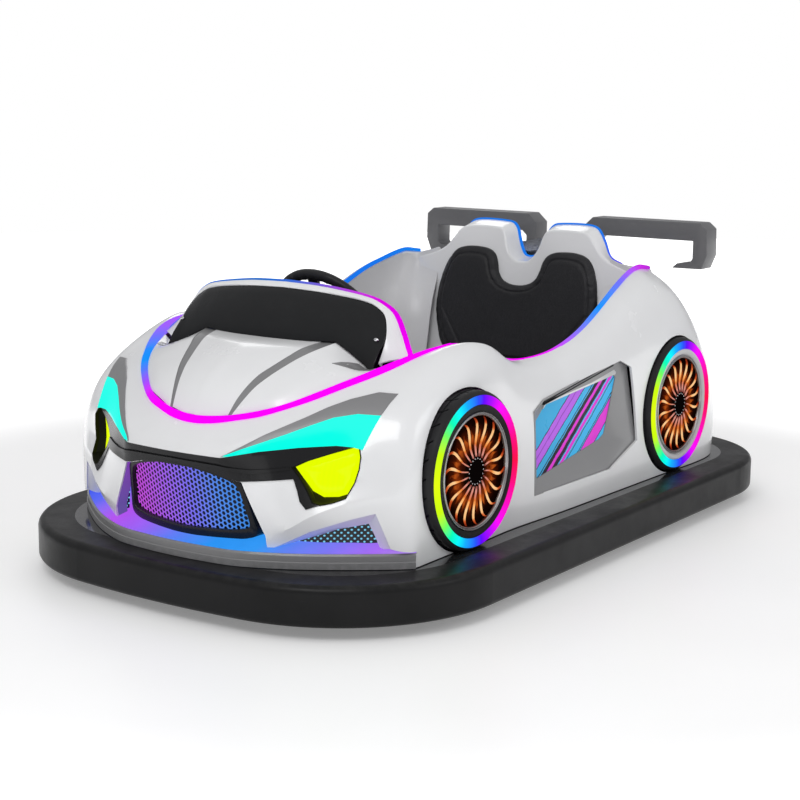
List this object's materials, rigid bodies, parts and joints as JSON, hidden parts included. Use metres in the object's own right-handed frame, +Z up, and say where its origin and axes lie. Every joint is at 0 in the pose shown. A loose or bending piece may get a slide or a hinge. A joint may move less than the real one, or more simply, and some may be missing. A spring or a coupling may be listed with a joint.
{
  "type": "bumper car",
  "caption": "Two-seat fairground bumper car: racing-style shell with light-up show wheels on a rubber-ringed chassis, steered by a turning drive unit.",
  "frame": {"origin": "on the floor, below the centre of the rubber bumper", "axes": "+Z up, the nose points to -Y, the left side is +X"},
  "size_m": [1.2, 2.012, 0.763],
  "materials": {
    "bumper_rubber": "satin",
    "frame_steel": "satin",
    "deck_paint": "gloss",
    "body_gelcoat": "gloss",
    "seat_base": "satin",
    "grey_trim": "gloss",
    "black_gloss": "gloss",
    "grille_light": "gloss",
    "light_strip": "satin",
    "cyan_light": "gloss",
    "yellow_light": "gloss",
    "red_light": "gloss",
    "door_graphic": "gloss",
    "seat_vinyl": "satin",
    "battery_case": "matte",
    "show_tyre": "matte",
    "wheel_light": "gloss",
    "axle_steel": "satin",
    "motor_case": "satin",
    "road_tyre": "matte",
    "steering_grip": "matte",
    "pedal_metal": "brushed"
  },
  "bodies": {
    "car": {"back_cushion": "seat_vinyl", "battery_pack": "battery_case", "brow_light_left": "cyan_light", "brow_light_right": "cyan_light", "bumper_band": "frame_steel", "bumper_ring": "bumper_rubber", "chassis_frame": "frame_steel", "door_panel_left": "door_graphic", "door_panel_right": "door_graphic", "drive_mount": "axle_steel", "floor_deck": "deck_paint", "foot_pedal": "pedal_metal", "front_body": "body_gelcoat", "front_lip": "light_strip", "front_mask": "black_gloss", "front_skirt": "grey_trim", "grille": "grille_light", "headlamp_left": "yellow_light", "headlamp_right": "yellow_light", "headrest_light": "light_strip", "hood": "body_gelcoat", "hood_light": "light_strip", "lower_grille_left": "black_gloss", "lower_grille_right": "black_gloss", "rail_light_left": "light_strip", "rail_light_right": "light_strip", "rear_axle": "axle_steel", "rear_body": "body_gelcoat", "seat_backrest": "body_gelcoat", "seat_bench": "seat_base", "seat_cushion": "seat_vinyl", "side_body_left": "body_gelcoat", "side_body_right": "body_gelcoat", "steering_tube": "axle_steel", "tail_lamp_left": "red_light", "tail_lamp_right": "red_light", "tyre_front_left": "show_tyre", "tyre_front_right": "show_tyre", "tyre_rear_left": "show_tyre", "tyre_rear_right": "show_tyre", "wheel_light_front_left": "wheel_light", "wheel_light_front_right": "wheel_light", "wheel_light_rear_left": "wheel_light", "wheel_light_rear_right": "wheel_light", "windscreen": "black_gloss", "windscreen_frame": "body_gelcoat", "windscreen_light": "light_strip", "wing_left": "grey_trim", "wing_right": "grey_trim"},
    "steering": {"steering_wheel": "steering_grip", "steering_rod": "axle_steel"},
    "drive_unit": {"drive_fork": "axle_steel", "drive_motor": "motor_case"},
    "drive_wheel": {"drive_wheel": "road_tyre"},
    "rear_wheel_left": {"rear_wheel_left": "road_tyre"},
    "rear_wheel_right": {"rear_wheel_right": "road_tyre"}
  },
  "joints": [
    {"name": "drive_unit_turn", "type": "hinge", "parent": "car", "child": "drive_unit", "pos_m": [0, -0.68, 0.22], "axis": [0, 0, 1], "continuous": true},
    {"name": "steering_wheel_turn", "type": "hinge", "parent": "car", "child": "steering", "pos_m": [0, -0.382, 0.572], "axis": [0, 0.866, 0.5], "continuous": true},
    {"name": "drive_wheel_spin", "type": "hinge", "parent": "drive_unit", "child": "drive_wheel", "pos_m": [0, -0.68, 0.1], "axis": [1, 0, 0], "continuous": true},
    {"name": "rear_wheel_left_spin", "type": "hinge", "parent": "car", "child": "rear_wheel_left", "pos_m": [0.345, 0.56, 0.1], "axis": [1, 0, 0], "continuous": true},
    {"name": "rear_wheel_right_spin", "type": "hinge", "parent": "car", "child": "rear_wheel_right", "pos_m": [-0.345, 0.56, 0.1], "axis": [1, 0, 0], "continuous": true}
  ],
  "couplings": [
    {"joint": "steering_wheel_turn", "follows": "drive_unit_turn", "ratio": 1}
  ]
}
